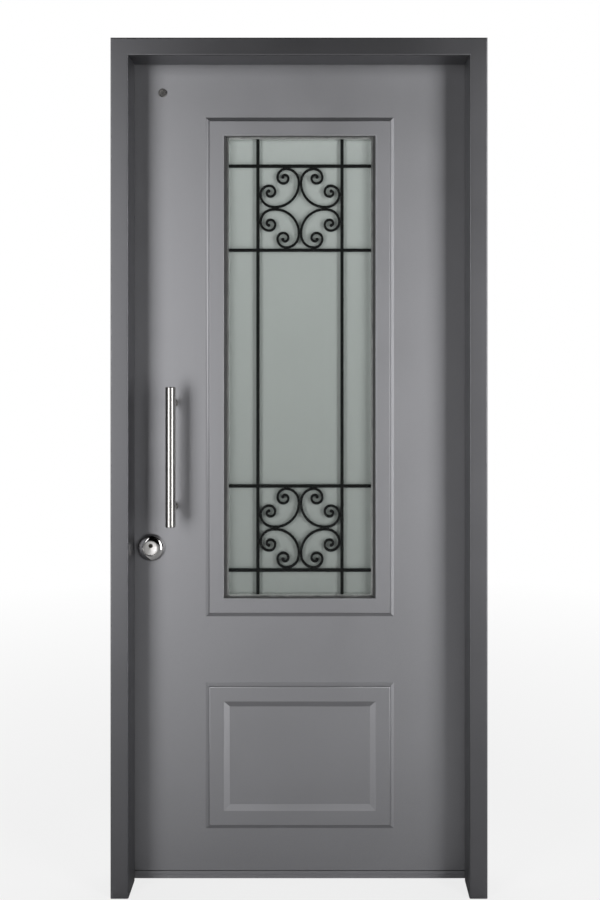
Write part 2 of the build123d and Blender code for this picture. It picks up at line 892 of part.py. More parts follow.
def blank_cap():
    """Plain round cap near the top corner, with a shallow dish in its face."""
    top = leaf_y - cap_height
    profile = (
        (0.0, leaf_y),
        (cap_radius, leaf_y),
        (cap_radius, top + 1.6),
        (cap_radius - 1.6, top),
        (cap_radius - 4.0, top),
        (cap_radius - 5.0, top + 1.0),
        (0.0, top + 1.0),
    )
    return revolve_about_y(profile, cap_x, cap_z)


# Lock
latch_z = lock_height + latch_rise


def latch_block(x0, x1, clearance):
    half_y = latch_wide / 2 + clearance
    half_z = latch_tall / 2 + clearance
    return block(
        x0, x1, leaf_mid_y - half_y, leaf_mid_y + half_y, latch_z - half_z, latch_z + half_z
    )


def cylinder_outline(y0, y1, grow):
    """Keyhole-shaped section of the lock cylinder: a round head over a straight leg."""
    r = plug_radius + 3.0 + grow
    leg = 5.0 + grow
    bottom = key_z - 24.0 - grow
    shape = rod_along_y(y0, y1, key_x, key_z, r)
    shape += block(key_x - leg, key_x + leg, y0, y1, bottom, key_z)
    return shape


def escutcheon():
    """Polished dome round the cylinder, hollow behind and bored for the disc."""
    r, h = dome_radius, dome_height
    base = leaf_y
    bore = disc_radius + 0.3
    plane = Plane(origin=(key_x, base, lock_height), x_dir=(1, 0, 0), z_dir=(0, 0, 1))
    side = Line((r, 0), (r, -2.0))
    dome = ThreePointArc((r, -2.0), (r * 0.86, -h * 0.72), (bore + 1.0, -h))
    rim = Line((bore + 1.0, -h), (bore, -h + 1.0))
    wall = Line((bore, -h + 1.0), (bore, 0))
    floor = Line((bore, 0), (r, 0))
    face = make_face([side, dome, rim, wall, floor])
    axis = Axis((key_x, base, lock_height), (0, 1, 0))
    return revolve(plane * face, axis)


def shield_disc():
    """Satin disc set in the dome, dished, with the key hole above its middle."""
    front = leaf_y - dome_height + 1.5
    profile = (
        (0.0, leaf_y),
        (disc_radius, leaf_y),
        (disc_radius, front + 0.8),
        (disc_radius - 0.8, front),
        (disc_radius - 3.0, front),
        (0.0, front + disc_dish),
    )
    disc = revolve_about_y(profile, key_x, lock_height)
    return disc - rod_along_y(leaf_y - 20, leaf_y, key_x, key_z, plug_radius + running)


def cylinder_body():
    """Lock cylinder through the leaf, bored for the plug."""
    body = cylinder_outline(leaf_y, back_y + plate_thickness + 2.0, 0.0)
    bore = plug_radius + running
    return body - rod_along_y(leaf_y - 3, back_y + 20, key_x, key_z, bore)


def key_plug():
    """Turning core with the keyway, recessed in the disc."""
    y0 = leaf_y - dome_height + 5.0
    y1 = leaf_mid_y - 6.0
    plug = rod_along_y(y0, y1, key_x, key_z, plug_radius)
    plug -= block(key_x - 1.2, key_x + 1.2, y0 - 1, y1 - 8, key_z - 4.0, key_z + 4.0)
    return plug


def thumb_turn():
    """Inside knob: shaft in the cylinder, collar and oval wing."""
    y0 = leaf_mid_y + 6.0
    y1 = back_y + plate_thickness + 2.5
    y2 = back_y + plate_thickness + thumb_projection
    shaft = rod_along_y(y0, y1 + 2, key_x, key_z, plug_radius)
    collar = rod_along_y(y1, y1 + 6, key_x, key_z, 9.0)
    wing = block(key_x - 3.5, key_x + 3.5, y1 + 6, y2, key_z - 13.0, key_z + 13.0)
    wing = fillet(wing.edges().filter_by(Axis.X), 6.0)
    return shaft + collar + wing


def faceplate_block(grow):
    half_y = faceplate_width / 2 + grow
    z0, z1 = case_bottom - faceplate_overhang, case_top + faceplate_overhang
    y0, y1 = leaf_mid_y - half_y, leaf_mid_y + half_y
    x1 = case_front_x
    return block(-leaf_x - grow * 5, x1, y0, y1, z0 - grow, z1 + grow)


def bolt_holes(x0, x1):
    """Running holes for the three bolts and the latch."""
    holes = latch_block(x0, x1, running * 2)
    for z in main_bolt_heights():
        holes += rod_along_x(x0, x1, leaf_mid_y, z, bolt_radius + running)
    return holes


def faceplate():
    return faceplate_block(0.0) - bolt_holes(-leaf_x - 1, case_front_x + 1)


def lock_case():
    """Sheet box of the mortise lock, open where bolts, rod, cylinder and spindle pass."""
    x0, x1 = case_front_x, case_front_x + case_depth
    half = case_thickness / 2
    t = case_sheet
    case = block(x0, x1, leaf_mid_y - half, leaf_mid_y + half, case_bottom, case_top)
    case -= block(
        x0 + t, x1 - t, leaf_mid_y - half + t, leaf_mid_y + half - t,
        case_bottom + t, case_top - t,
    )
    case -= bolt_holes(x0 - 1, x0 + t + 1)
    case -= cylinder_outline(leaf_y, back_y, 0.3)
    case -= rod_along_y(leaf_y, back_y, key_x, lever_z, spindle_size * 0.8)
    case -= rod_along_z(case_top - 5, case_top + 5, rod_x, leaf_mid_y, rod_radius + running)
    return case


def main_bolts():
    """Three round deadbolts, drawn back flush with the faceplate."""
    tip = -leaf_x + bolt_tip_setback
    bolts = []
    for z in main_bolt_heights():
        bolt = rod_along_x(tip, carriage_x(), leaf_mid_y, z, bolt_radius)
        bolt = chamfer(bolt.faces().sort_by(Axis.X)[0].edges(), 1.5)
        bolts.append(bolt)
    return bolts


def carriage_x():
    return case_front_x + case_sheet + bolt_throw + 6.0


def bolt_carriage():
    """Plate that carries the three bolts."""
    heights = main_bolt_heights()
    x0 = carriage_x()
    z0, z1 = heights[-1] - bolt_radius - 4, heights[0] + bolt_radius + 4
    half = case_thickness / 2 - case_sheet - 1.0
    y0, y1 = leaf_mid_y - half, leaf_mid_y + half
    return block(x0, x0 + carriage_thickness, y0, y1, z0, z1)


def top_rod():
    """Round rod inside the lock edge, from the lock up to the head."""
    tip = leaf_top - rod_tip_setback
    foot = latch_z + latch_tall / 2 + rod_foot_gap
    rod = rod_along_z(foot, tip, rod_x, leaf_mid_y, rod_radius)
    return chamfer(rod.faces().sort_by(Axis.Z)[-1].edges(), 1.5)


def latch_bolt():
    """Latch with a slanted nose, held back inside the faceplate."""
    x0 = -leaf_x + bolt_tip_setback
    body = latch_block(x0, x0 + latch_length, 0.0)
    nose = 10.0
    y0 = leaf_mid_y - latch_wide / 2
    plane = Plane.XY.offset(latch_z - latch_tall)
    cut = Polygon((x0 - 1, y0 - 1), (x0 + nose, y0 - 1), (x0 - 1, y0 + nose), align=None)
    return body - extrude(plane * cut, amount=2 * latch_tall, dir=(0, 0, 1))


def inside_plate():
    """Long plate under lever and thumb turn."""
    z1 = lever_z + plate_width / 2 + 20
    plate = block(
        key_x - plate_width / 2, key_x + plate_width / 2,
        back_y, back_y + plate_thickness, z1 - plate_height, z1,
    )
    plate = fillet(plate.edges().filter_by(Axis.Y), plate_round)
    plate = chamfer(plate.faces().sort_by(Axis.Y)[-1].edges(), 1.5)
    plate -= cylinder_outline(back_y - 1, back_y + 20, 0.3)
    return plate - rod_along_y(back_y - 1, back_y + 20, key_x, lever_z, 9.0 + running)


def lever_handle():
    """Lever: collar in the plate, neck, and a round grip towards the hinge side."""
    y_end = back_y + lever_projection
    y_grip = y_end - lever_radius
    neck = rod_along_y(back_y + 1.0, y_grip, key_x, lever_z, 9.0)
    knee = Pos(key_x, y_grip, lever_z) * Sphere(lever_radius)
    grip = rod_along_x(key_x, key_x + lever_length, y_grip, lever_z, lever_radius)
    grip = fillet(grip.faces().sort_by(Axis.X)[-1].edges(), 4.0)
    lever = neck + knee + grip
    half = spindle_size / 2
    socket = block(
        key_x - half, key_x + half, back_y, back_y + 30, lever_z - half, lever_z + half
    )
    return lever - socket


def spindle():
    """Square bar from the lock's follower into the lever."""
    half = spindle_size / 2
    return block(
        key_x - half, key_x + half, leaf_mid_y - 8, back_y + 30, lever_z - half, lever_z + half
    )


# Hinges
frame_plate_screw_x = outer_x - 8.0
leaf_plate_screw_x = leaf_x - 26.0


def hinge_screw_places(x):
    """Three screws for each hinge plate."""
    places = []
    for z in hinge_heights:
        for dz in (-0.36, 0.0, 0.36):
            places.append((x, back_y + hinge_plate, z + dz * hinge_tall))
    return places


def knuckle(z0, z1):
    return rod_along_z(z0, z1, pivot_x, pivot_y, knuckle_radius)


def hinge_bore(z):
    half = hinge_tall / 2 + 1
    return rod_along_z(z - half, z + half, pivot_x, pivot_y, pin_radius + running)


def hinge_leaf_half(z):
    """Plate on the leaf with the middle knuckle."""
    t = hinge_plate
    low, high = z - hinge_tall / 2, z + hinge_tall / 2
    mid0, mid1 = z - hinge_middle / 2, z + hinge_middle / 2
    plate = block(leaf_x - hinge_leaf_plate, leaf_x - 1, back_y, back_y + t, low, high)
    neck = block(leaf_x - 14, pivot_x, back_y + t, pivot_y, mid0, mid1)
    neck -= block(leaf_x - 15, leaf_x - 9, back_y + t + 5, pivot_y + 1, mid0 - 1, mid1 + 1)
    half = plate + neck
    edge = block(leaf_x - 1, pivot_x + 1, back_y + t - 1, back_y + t + 0.4, mid0 - 1, mid1 + 1)
    half = (half - edge) + knuckle(mid0, mid1)
    for x, y, zs in hinge_screw_places(leaf_plate_screw_x):
        if abs(zs - z) < hinge_tall:
            half -= screw_shape(x, zs, y, hinge_screw_radius, 16.0)
    return half - hinge_bore(z)


def hinge_frame_half(z):
    """Plate on the jamb with the two outer knuckles."""
    t = hinge_plate
    low, high = z - hinge_tall / 2, z + hinge_tall / 2
    mid0 = z - hinge_middle / 2 - knuckle_gap
    mid1 = z + hinge_middle / 2 + knuckle_gap
    half = block(rebate_x + 1, outer_x, back_y, back_y + t, low, high)
    for a, b in ((low, mid0), (mid1, high)):
        half += block(pivot_x, pivot_x + knuckle_radius, back_y + t, pivot_y, a, b)
        half += knuckle(a, b)
    for x, y, zs in hinge_screw_places(frame_plate_screw_x):
        if abs(zs - z) < hinge_tall:
            half -= screw_shape(x, zs, y, hinge_screw_radius, 16.0)
    return half - hinge_bore(z)


def hinge_pins():
    """A headed pin for each hinge."""
    pins = []
    for z in hinge_heights:
        top = z + hinge_tall / 2
        pin = rod_along_z(z - hinge_tall / 2, top, pivot_x, pivot_y, pin_radius)
        head = rod_along_z(top, top + 4, pivot_x, pivot_y, knuckle_radius - 1)
        head = chamfer(head.faces().sort_by(Axis.Z)[-1].edges(), 1.5)
        pins.append(pin + head)
    return pins


def hinge_screws(x):
    return [
        screw_shape(px, pz, py, hinge_screw_radius, 14.0) for px, py, pz in hinge_screw_places(x)
    ]


def build():
    save("strike_jamb", strike_jamb())
    save("hinge_jamb", hinge_jamb())
    save("frame_head", frame_head())
    cleat = corner_cleat()
    save("corner_cleats", cleat, mirror(cleat, Plane.YZ))
    save("frame_seal", frame_seal())
    save("keep_box", keep_box())
    save("leaf_outer_skin", outer_skin())
    save("leaf_inner_skin", inner_skin())
    save("hinge_stile", hinge_stile())
    save("lock_stile", lock_stile())
    save("top_rail", top_rail())
    save("bottom_rail", bottom_rail())
    save("window_liner", window_liner())
    save("wool_slabs", *wool_slabs())
    save("dog_bolts", *dog_bolts())
    save("outer_pane", pane(outer_pane_y))
    save("inner_pane", pane(inner_pane_y))
    upright_bars, cross_bars = uprights(), crossbars()
    save("glass_spacer", glass_spacer(upright_bars + cross_bars))
    save("outer_glazing_seal", outer_glazing_seal())
    save("inner_glazing_seal", inner_glazing_seal())
    save("glazing_frame", glazing_frame())
    screws = [
        screw_shape(x, z, back_y + bead_frame_proud, bead_frame_screw_radius, 12.0)
        for x, z in glazing_screw_places()
    ]
    save("glazing_screws", *screws)
    for name, bar in zip(("left", "right"), upright_bars):
        save(f"grille_upright_{name}", bar)
    for number, bar in enumerate(cross_bars, 1):
        save(f"grille_crossbar_{number}", bar)
    upper, lower = scroll_panels()
    save("upper_scrolls", *upper)
    save("lower_scrolls", *lower)
    save("bottom_sweep", bottom_sweep())
    save("sweep_blade", sweep_blade())
    save("blank_cap", blank_cap())
    save("pull_bar", pull_bar())
    save("pull_end_caps", *pull_end_caps())
    save("pull_posts", *pull_posts())
    save("pull_bolts", *pull_bolts())
    save("escutcheon", escutcheon())
    save("shield_disc", shield_disc())
    save("cylinder_body", cylinder_body())
    save("key_plug", key_plug())
    save("thumb_turn", thumb_turn())
    save("faceplate", faceplate())
    save("lock_case", lock_case())
    save("main_bolts", *main_bolts())
    save("bolt_carriage", bolt_carriage())
    save("top_rod", top_rod())
    save("latch_bolt", latch_bolt())
    save("inside_plate", inside_plate())
    save("lever_handle", lever_handle())
    save("spindle", spindle())
    for number, z in enumerate(hinge_heights, 1):
        save(f"hinge_leaf_half_{number}", hinge_leaf_half(z))
        save(f"hinge_frame_half_{number}", hinge_frame_half(z))
    save("hinge_pins", *hinge_pins())
    save("hinge_frame_screws", *hinge_screws(frame_plate_screw_x))
    save("hinge_leaf_screws", *hinge_screws(leaf_plate_screw_x))


build()
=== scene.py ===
# %% [markdown]
# # Dressing a steel entrance door
# The solid model of the door comes in as a fixed frame: every sheet, bar, pane and bolt is
# already in its place, in metres. Blender's share is the look: the paint, the glass, the
# polished and brushed metal, two pieces whose surfaces are shaped again, and the studio round
# it all.

# %% Load the door
import math

import bmesh
import bpy
import numpy as np
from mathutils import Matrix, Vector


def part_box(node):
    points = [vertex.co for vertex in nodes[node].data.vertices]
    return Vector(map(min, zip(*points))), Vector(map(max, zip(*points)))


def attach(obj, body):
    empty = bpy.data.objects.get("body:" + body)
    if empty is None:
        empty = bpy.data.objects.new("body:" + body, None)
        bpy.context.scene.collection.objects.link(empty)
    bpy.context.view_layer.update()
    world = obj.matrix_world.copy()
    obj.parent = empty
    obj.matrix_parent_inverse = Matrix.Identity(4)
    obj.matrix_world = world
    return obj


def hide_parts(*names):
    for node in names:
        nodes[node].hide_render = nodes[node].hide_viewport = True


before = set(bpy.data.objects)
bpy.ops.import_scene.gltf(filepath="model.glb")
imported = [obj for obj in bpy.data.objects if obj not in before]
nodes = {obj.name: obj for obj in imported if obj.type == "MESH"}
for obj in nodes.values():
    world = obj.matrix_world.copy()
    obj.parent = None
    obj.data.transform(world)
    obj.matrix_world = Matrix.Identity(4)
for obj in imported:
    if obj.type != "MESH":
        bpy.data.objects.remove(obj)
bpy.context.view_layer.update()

# %% [markdown]
# ## Where things are
# A piece made here must sit exactly where the solid it belongs to sits. Typing the same number
# twice would let the two drift apart, so the places are measured on the solids themselves:
# each node gives its lowest and highest corner, and a round part's axis is the middle of them.
# The lock's dome sits flat on the leaf, so its back tells where the leaf's face is.

# %% Measure the places
def corners(name):
    """The lowest and the highest corner of a node, as arrays."""
    low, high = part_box(name)
    return np.array(low), np.array(high)


leaf_front = float(corners("escutcheon")[1][1])
print("leaf face at y", round(leaf_front, 4))

# %% [markdown]
# ## The camera
# The photograph is taken square on, with the horizon a little above the middle of the door, so
# the door's uprights stay parallel. A photographer gets that with a level camera and a shifted
# lens. Blender's camera has the same shift, so it stays level too instead of being tilted.

# %% Camera
eye = (0.056, -2.693, 1.362)
lens_data = bpy.data.cameras.new("camera_view")
lens_data.lens = 42.54
lens_data.sensor_width = 36.0
lens_data.shift_x = -0.0244
lens_data.shift_y = -0.1222
camera = bpy.data.objects.new("camera_view", lens_data)
camera.location = eye
camera.rotation_euler = (math.radians(90), 0, 0)
bpy.context.scene.collection.objects.link(camera)
bpy.context.scene.camera = camera
print("camera at", eye, "lens", lens_data.lens, "mm")

# %% [markdown]
# ## The light
# Two tall soft boxes stand in front of the door, one on each side. The paint is a metallic one,
# so it mostly mirrors what is near the mirrored line of sight, and the deep frame hides one
# box from each edge of the leaf. That gives the two dark upright bands beside the frame. A
# cloth grid in front of each box narrows its beam, and the lamp's spread does the same here.
# Area lamps are the natural tool, since a soft box is a glowing rectangle. The lamps are hidden
# from the camera, because another view of the door could otherwise look straight at one.

# %% Soft boxes
grid_degrees = 110.0
box_tall = 3.10
box_height = 1.25


def soft_box(name, place, target, wide, tall, radiance):
    """A glowing rectangle with a grid. Its power is radiance x area x pi, so without the grid
    its brightness in a mirror would be the radiance."""
    lamp = bpy.data.lights.new(name, "AREA")
    lamp.shape = "RECTANGLE"
    lamp.size = wide
    lamp.size_y = tall
    lamp.spread = math.radians(grid_degrees)
    lamp.energy = radiance * wide * tall * math.pi
    box = bpy.data.objects.new(name, lamp)
    box.location = place
    away = np.array(target) - np.array(place)
    box.rotation_euler = (math.radians(90), 0, math.atan2(away[1], away[0]) - math.pi / 2)
    box.visible_camera = False
    bpy.context.scene.collection.objects.link(box)
    print(name, "power", round(lamp.energy, 1), "W")
    return box


soft_box("left_soft_box", (-1.711, -2.314, box_height), (-0.32, 0.0, box_height),
         1.050, box_tall, 2.05)
soft_box("right_soft_box", (1.964, -2.142, box_height), (0.32, 0.0, box_height),
         1.001, box_tall, 2.80)

# %% [markdown]
# ## The air of the studio
# The rest of the light comes from the world. Behind the door the studio is white, and in front
# of it dark, as a photographer keeps it so that metal shows clean dark edges. The ray's
# own direction tells the two apart: a ray that travels towards +Y sees the white half. The
# camera always sees white, and so does a ray that has passed through glass.

# %% World
def shade_node(tree, kind, **inputs):
    """A new node of this kind with its named inputs set to constants."""
    node = tree.nodes.new(kind)
    for label, value in inputs.items():
        node.inputs[label].default_value = value
    return node


def math_node(tree, operation, first, second, clamp=False):
    """One sum on two values; each is a number or an output of another node."""
    node = tree.nodes.new("ShaderNodeMath")
    node.operation = operation
    node.use_clamp = clamp
    for socket, value in zip(node.inputs, (first, second)):
        if isinstance(value, (int, float)):
            socket.default_value = value
        else:
            tree.links.new(value, socket)
    return node.outputs[0]


air = bpy.data.worlds.new("studio_air")
bpy.context.scene.world = air
air.use_nodes = True
sky = air.node_tree
sky.nodes.clear()
ray = sky.nodes.new("ShaderNodeLightPath")
heading = sky.nodes.new("ShaderNodeTexCoord")
split = sky.nodes.new("ShaderNodeSeparateXYZ")
sky.links.new(heading.outputs["Generated"], split.inputs[0])
edge_gain = 2.2
behind = math_node(sky, "MULTIPLY", split.outputs["Y"], edge_gain, clamp=True)
seen_through = math_node(sky, "MAXIMUM", ray.outputs["Is Camera Ray"],
                         ray.outputs["Is Transmission Ray"])
white_share = math_node(sky, "MAXIMUM", seen_through, behind)
backdrop = shade_node(sky, "ShaderNodeBackground", Color=(1.0, 1.0, 1.0, 1.0))
sky.links.new(white_share, backdrop.inputs["Strength"])
sky_out = sky.nodes.new("ShaderNodeOutputWorld")
sky.links.new(backdrop.outputs[0], sky_out.inputs[0])
print("world nodes", len(sky.nodes))

# %% [markdown]
# ## Finishes
# Every finish starts from the same short recipe: one Principled shader with its constant
# colour, metal share and roughness set straight on its sockets, and the object's own
# coordinates to hang a pattern on. Small helpers then add the detail: a mottle in the colour, a
# drift in the roughness and a fine bump. Object coordinates are in metres, so a scale of 1000
# means a grain of about a millimetre.

# %% Recipe for a finish
fine_relief = 0.00002


def new_finish(name, colour, metal, rough):
    """A material whose Principled shader has these constants, and its tree, shader and coordinates."""
    material = bpy.data.materials.new(name)
    material.use_nodes = True
    tree = material.node_tree
    shader = tree.nodes["Principled BSDF"]
    shader.inputs["Base Color"].default_value = (*colour, 1.0)
    shader.inputs["Metallic"].default_value = metal
    shader.inputs["Roughness"].default_value = rough
    where = tree.nodes.new("ShaderNodeTexCoord").outputs["Object"]
    return material, tree, shader, where


def stretched(tree, where, scale):
    """Coordinates multiplied by scale on each axis, which stretches a pattern along the small ones."""
    mapping = tree.nodes.new("ShaderNodeMapping")
    mapping.inputs["Scale"].default_value = scale
    tree.links.new(where, mapping.inputs["Vector"])
    return mapping.outputs["Vector"]


def noise(tree, where, scale, detail=3.0, rough=0.55):
    """A cloud pattern between 0 and 1 whose lumps are about 1 / scale metres wide."""
    node = shade_node(tree, "ShaderNodeTexNoise", Scale=scale, Detail=detail, Roughness=rough)
    tree.links.new(where, node.inputs["Vector"])
    return node.outputs["Fac"]


def spread(tree, value, low, high, to_low, to_high):
    """The value moved in a straight line from low..high to to_low..to_high, and held there."""
    node = tree.nodes.new("ShaderNodeMapRange")
    node.clamp = True
    ends = {"From Min": low, "From Max": high, "To Min": to_low, "To Max": to_high}
    for label, number in ends.items():
        node.inputs[label].default_value = number
    tree.links.new(value, node.inputs["Value"])
    return node.outputs["Result"]


def tint(tree, shader, value, dark, light):
    """The base colour goes from dark to light as the value goes from 0 to 1."""
    mix = tree.nodes.new("ShaderNodeMix")
    mix.data_type = "RGBA"
    for socket in mix.inputs:
        if socket.name == "A" and socket.type == "RGBA":
            socket.default_value = (*dark, 1.0)
        if socket.name == "B" and socket.type == "RGBA":
            socket.default_value = (*light, 1.0)
    tree.links.new(value, mix.inputs["Factor"])
    colour = [socket for socket in mix.outputs if socket.type == "RGBA"][0]
    tree.links.new(colour, shader.inputs["Base Color"])


def bump(tree, shader, value, strength, height):
    """Small relief: the surface rises by up to height where the value is 1."""
    node = shade_node(tree, "ShaderNodeBump", Strength=strength, Distance=height)
    tree.links.new(value, node.inputs["Height"])
    tree.links.new(node.outputs["Normal"], shader.inputs["Normal"])


def shade(colour, factor):
    """The colour with each channel multiplied by the factor."""
    return tuple(channel * factor for channel in colour)


# %% [markdown]
# ## The paint
# Both paints are baked polyester with fine aluminium flake: the leaf in mid grey and the frame
# in a darker, glossier anthracite. A sprayed coat is never quite even: the flake gives a fine
# sparkle, the coat has a faint orange-peel, and over a hand's breadth the gloss drifts a
# little. Three noises of three sizes carry those three things.

# %% Metallic paints
def metallic_paint(name, colour, rough, flake, peel):
    """Flake in the colour at 2500 per metre, gloss drift at 7 and orange-peel at 260."""
    material, tree, shader, where = new_finish(name, colour, 1.0, rough)
    sparkle = spread(tree, noise(tree, where, 2500.0, 2.0), 0.3, 0.7, 0.0, 1.0)
    tint(tree, shader, sparkle, shade(colour, 1 - flake), shade(colour, 1 + flake))
    cloud = noise(tree, where, 7.0, 4.0)
    drift = spread(tree, cloud, 0.3, 0.7, rough - 0.025, rough + 0.025)
    tree.links.new(drift, shader.inputs["Roughness"])
    bump(tree, shader, noise(tree, where, 260.0, 2.0), peel, fine_relief)
    return material


leaf_grey = metallic_paint("leaf_grey_metallic", (0.33, 0.33, 0.345), 0.52, 0.10, 0.25)
inside_grey = metallic_paint("inside_grey_metallic", (0.33, 0.33, 0.345), 0.52, 0.10, 0.25)
frame_anthracite = metallic_paint("frame_anthracite_metallic", (0.148, 0.148, 0.156), 0.42, 0.12, 0.3)
print("paints ready")

# %% [markdown]
# ## Bare metals
# The pull bar, lever and hinges are ground stainless steel: the grit leaves long fine scratches
# in one direction. Noise squeezed hard across that direction draws them, and the same noise
# drives both roughness and relief, as a real scratch does. The lock's dome is polished, so it
# has almost no grain, only the faintest waviness.

# %% Ground, polished and zinc coated metal
def ground_metal(name, colour, rough, scale, strength=0.12):
    """Scratches from noise stretched by scale; roughness swings 0.07 either way with them."""
    material, tree, shader, where = new_finish(name, colour, 1.0, rough)
    lines = noise(tree, stretched(tree, where, scale), 1.0, 3.0, 0.6)
    gloss = spread(tree, lines, 0.25, 0.75, rough - 0.07, rough + 0.07)
    tree.links.new(gloss, shader.inputs["Roughness"])
    stripes = spread(tree, lines, 0.3, 0.7, 0.0, 1.0)
    tint(tree, shader, stripes, shade(colour, 0.9), shade(colour, 1.06))
    bump(tree, shader, lines, strength, fine_relief)
    return material


steel_upright = ground_metal("stainless_ground_upright", (0.36, 0.352, 0.34), 0.25,
                             (1800.0, 1800.0, 14.0))
steel_sideways = ground_metal("stainless_ground_sideways", (0.40, 0.392, 0.38), 0.27,
                              (14.0, 1800.0, 1800.0))
disc_satin = ground_metal("disc_satin", (0.78, 0.765, 0.75), 0.44, (1500.0, 1500.0, 60.0), 0.2)
cylinder_satin = ground_metal("cylinder_satin_nickel", (0.34, 0.33, 0.31), 0.32, (1500.0, 60.0, 1500.0))
plug_dark = ground_metal("plug_dark_brass", (0.075, 0.068, 0.058), 0.38, (60.0, 1500.0, 60.0))


def polished_metal(name, colour):
    """Mirror finish: roughness 0.06 to 0.11 in soft patches, and a very faint waviness."""
    material, tree, shader, where = new_finish(name, colour, 1.0, 0.08)
    patches = noise(tree, where, 90.0, 4.0)
    tree.links.new(spread(tree, patches, 0.3, 0.7, 0.06, 0.11), shader.inputs["Roughness"])
    tint(tree, shader, patches, shade(colour, 0.96), colour)
    bump(tree, shader, noise(tree, where, 300.0, 2.0), 0.08, fine_relief)
    return material


dome_chrome = polished_metal("dome_polished", (0.55, 0.545, 0.54))


def zinc_coat(name, colour):
    """Zinc spangle: cells 6 mm wide that differ in shade, and a dull, uneven gloss."""
    material, tree, shader, where = new_finish(name, colour, 1.0, 0.42)
    cells = shade_node(tree, "ShaderNodeTexVoronoi", Scale=170.0)
    tree.links.new(where, cells.inputs["Vector"])
    grey = tree.nodes.new("ShaderNodeSeparateColor")
    tree.links.new(cells.outputs["Color"], grey.inputs[0])
    tint(tree, shader, grey.outputs[0], shade(colour, 0.8), shade(colour, 1.08))
    tree.links.new(spread(tree, grey.outputs[1], 0.0, 1.0, 0.34, 0.5), shader.inputs["Roughness"])
    bump(tree, shader, noise(tree, where, 700.0, 2.0), 0.15, 0.00003)
    return material


zinc = zinc_coat("zinc_spangle", (0.56, 0.57, 0.58))
print("metals ready")

# %% [markdown]
# ## Black iron
# The grille is flat bar in a matt black stove paint. In the photograph it is almost pure black,
# so the colour stays very low, and only a light texture of the paint breaks the sheen.

# %% Black paint on the grille
def black_paint(name):
    """Near black, with pimples half a millimetre wide and a slightly uneven sheen."""
    colour = (0.004, 0.004, 0.0042)
    material, tree, shader, where = new_finish(name, colour, 0.0, 0.6)
    shader.inputs["Specular IOR Level"].default_value = 0.05
    grain = noise(tree, where, 1800.0, 2.0)
    tint(tree, shader, grain, shade(colour, 0.6), shade(colour, 1.6))
    sheen = spread(tree, noise(tree, where, 60.0), 0.3, 0.7, 0.54, 0.68)
    tree.links.new(sheen, shader.inputs["Roughness"])
    bump(tree, shader, grain, 0.3, 0.00004)
    return material


iron_black = black_paint("iron_black")

# %% [markdown]
# ## Glass
# The window is a sealed double pane. The outer pane is clear, and over the dark grille it
# hardly shows, so it is a thin tinted film with a soft gloss: a low alpha does that and still
# lets the lamps through to what stands behind. The inner pane is frosted, greenish grey, and it
# carries the colour of the window. It passes part of the white studio behind it, so it has a
# share of transmission with a wide roughness.

# %% Clear and frosted glass
def clear_pane(name):
    """Alpha 0.05, green edge tint, and smears so faint that they only move the gloss."""
    material, tree, shader, where = new_finish(name, (0.05, 0.06, 0.055), 0.0, 0.04)
    shader.inputs["Alpha"].default_value = 0.05
    smear = noise(tree, where, 5.0, 5.0)
    tree.links.new(spread(tree, smear, 0.3, 0.7, 0.02, 0.09), shader.inputs["Roughness"])
    tint(tree, shader, smear, (0.045, 0.055, 0.05), (0.055, 0.065, 0.06))
    return material


def frosted_pane(name, low_colour, painted_lit_top_colour):
    """Acid-etched glass: fine grain, a soft cloud over 10 cm, and painted light: the colour turns
    lighter towards the top of the pane, for more light from behind coming through there."""
    material, tree, shader, where = new_finish(name, low_colour, 0.0, 0.55)
    shader.inputs["Transmission Weight"].default_value = 0.35
    grain = noise(tree, where, 1400.0, 2.0)
    cloud = noise(tree, where, 9.0, 3.0)
    place = tree.nodes.new("ShaderNodeSeparateXYZ")
    tree.links.new(where, place.inputs[0])
    low, high = corners("inner_pane")
    # Painted light: the colour lightens with height, for the light from behind that comes through the
    # top of the pane.
    height = spread(tree, place.outputs["Z"], float(low[2]), float(high[2]), 0.0, 0.8)
    mottle = math_node(tree, "MULTIPLY_ADD", cloud, 0.12)
    tree.links.new(math_node(tree, "MULTIPLY", grain, 0.08), mottle.node.inputs[2])
    tint(tree, shader, math_node(tree, "ADD", height, mottle), low_colour, painted_lit_top_colour)
    bump(tree, shader, grain, 0.3, 0.00003)
    return material


glass_clear = clear_pane("glass_clear")
glass_frosted = frosted_pane("glass_frosted", (0.37, 0.405, 0.385), (0.57, 0.62, 0.595))

# %% [markdown]
# ## Rubber, wool and spacer
# These are the quiet ones: the seals are matt black rubber with a faint bloom, the filling of
# the leaf is mineral wool with fibres lying flat, and the spacer between the panes is a satin
# aluminium strip.

# %% Soft and small finishes
def matt_rubber(name):
    """Dark grey with a dusty bloom over 3 cm and a fine grain."""
    material, tree, shader, where = new_finish(name, (0.075, 0.075, 0.075), 0.0, 0.65)
    bloom = noise(tree, where, 35.0, 4.0)
    tint(tree, shader, bloom, (0.058, 0.058, 0.058), (0.096, 0.096, 0.095))
    bump(tree, shader, noise(tree, where, 2200.0, 1.0), 0.25, 0.00004)
    return material


def wool_filling(name):
    """Fibres lying in the plane of the leaf: noise squeezed through the thickness."""
    material, tree, shader, where = new_finish(name, (0.55, 0.49, 0.33), 0.0, 0.95)
    fibre = noise(tree, stretched(tree, where, (90.0, 700.0, 260.0)), 1.0, 5.0, 0.7)
    tint(tree, shader, fibre, (0.38, 0.33, 0.21), (0.70, 0.63, 0.44))
    bump(tree, shader, fibre, 0.9, 0.0015)
    return material


rubber_black = matt_rubber("rubber_black")
wool_yellow = wool_filling("wool_filling")
spacer_satin = ground_metal("spacer_satin", (0.78, 0.79, 0.78), 0.38, (40.0, 1500.0, 40.0))

# %% [markdown]
# ## Dressing the nodes
# Each solid keeps its shape and only gets a better material in its slot. A table from finish to
# nodes says which piece is made of what, just as a parts list does.

